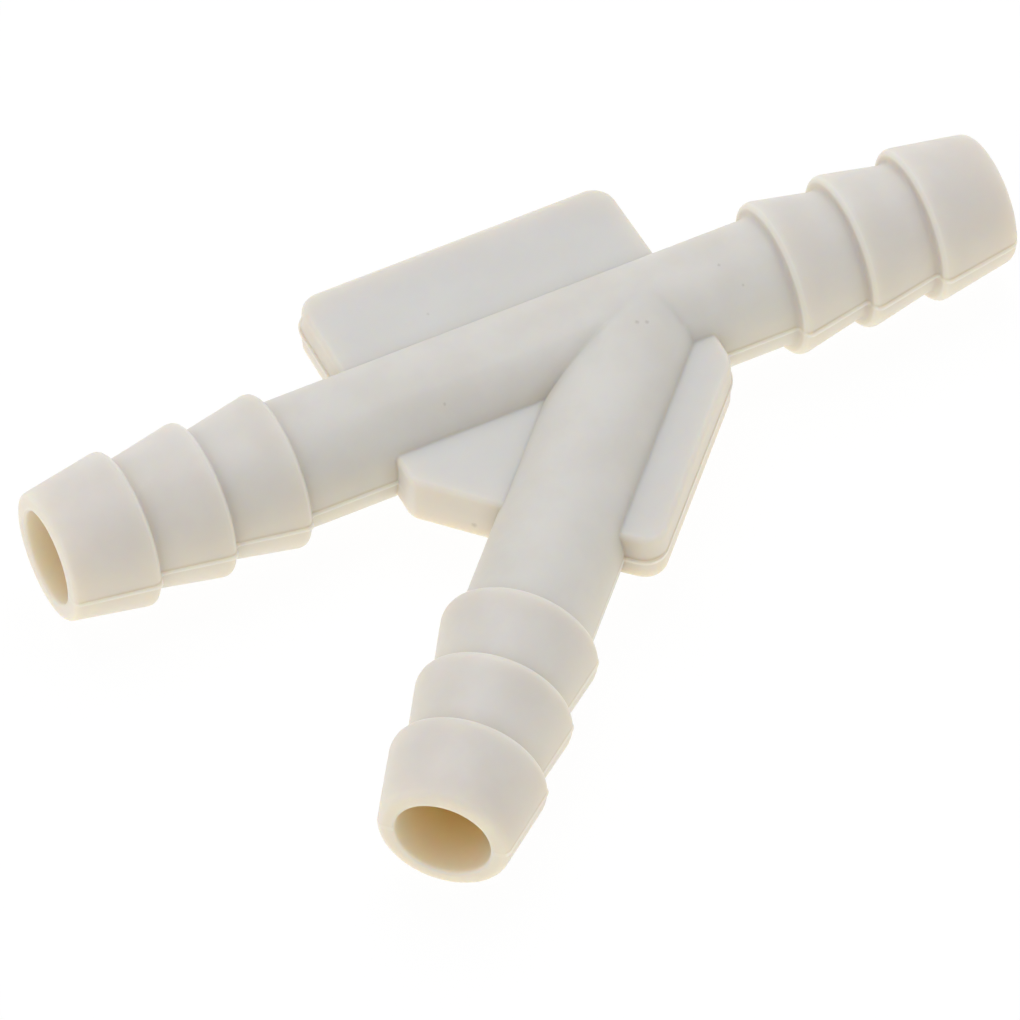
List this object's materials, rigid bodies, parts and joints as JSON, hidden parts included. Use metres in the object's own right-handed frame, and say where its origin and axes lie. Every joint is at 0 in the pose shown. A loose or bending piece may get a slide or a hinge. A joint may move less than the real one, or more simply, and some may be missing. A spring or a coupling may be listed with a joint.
{
  "type": "tubing y connector",
  "caption": "Y-shaped hose connector in natural nylon: barbed tails on a straight run and a swept branch, with a flat web in the fork.",
  "frame": {"origin": "where the axes of the run and the branch cross, in the mould's parting plane", "axes": "+X along the run towards its shorter tail, +Z square to the plane of the Y, branch pointing to -X -Y"},
  "size_m": [0.0626, 0.042, 0.0096],
  "materials": {
    "natural_nylon": "satin, slightly translucent off-white"
  },
  "bodies": {
    "root": {"y_connector": "natural_nylon"}
  },
  "joints": []
}
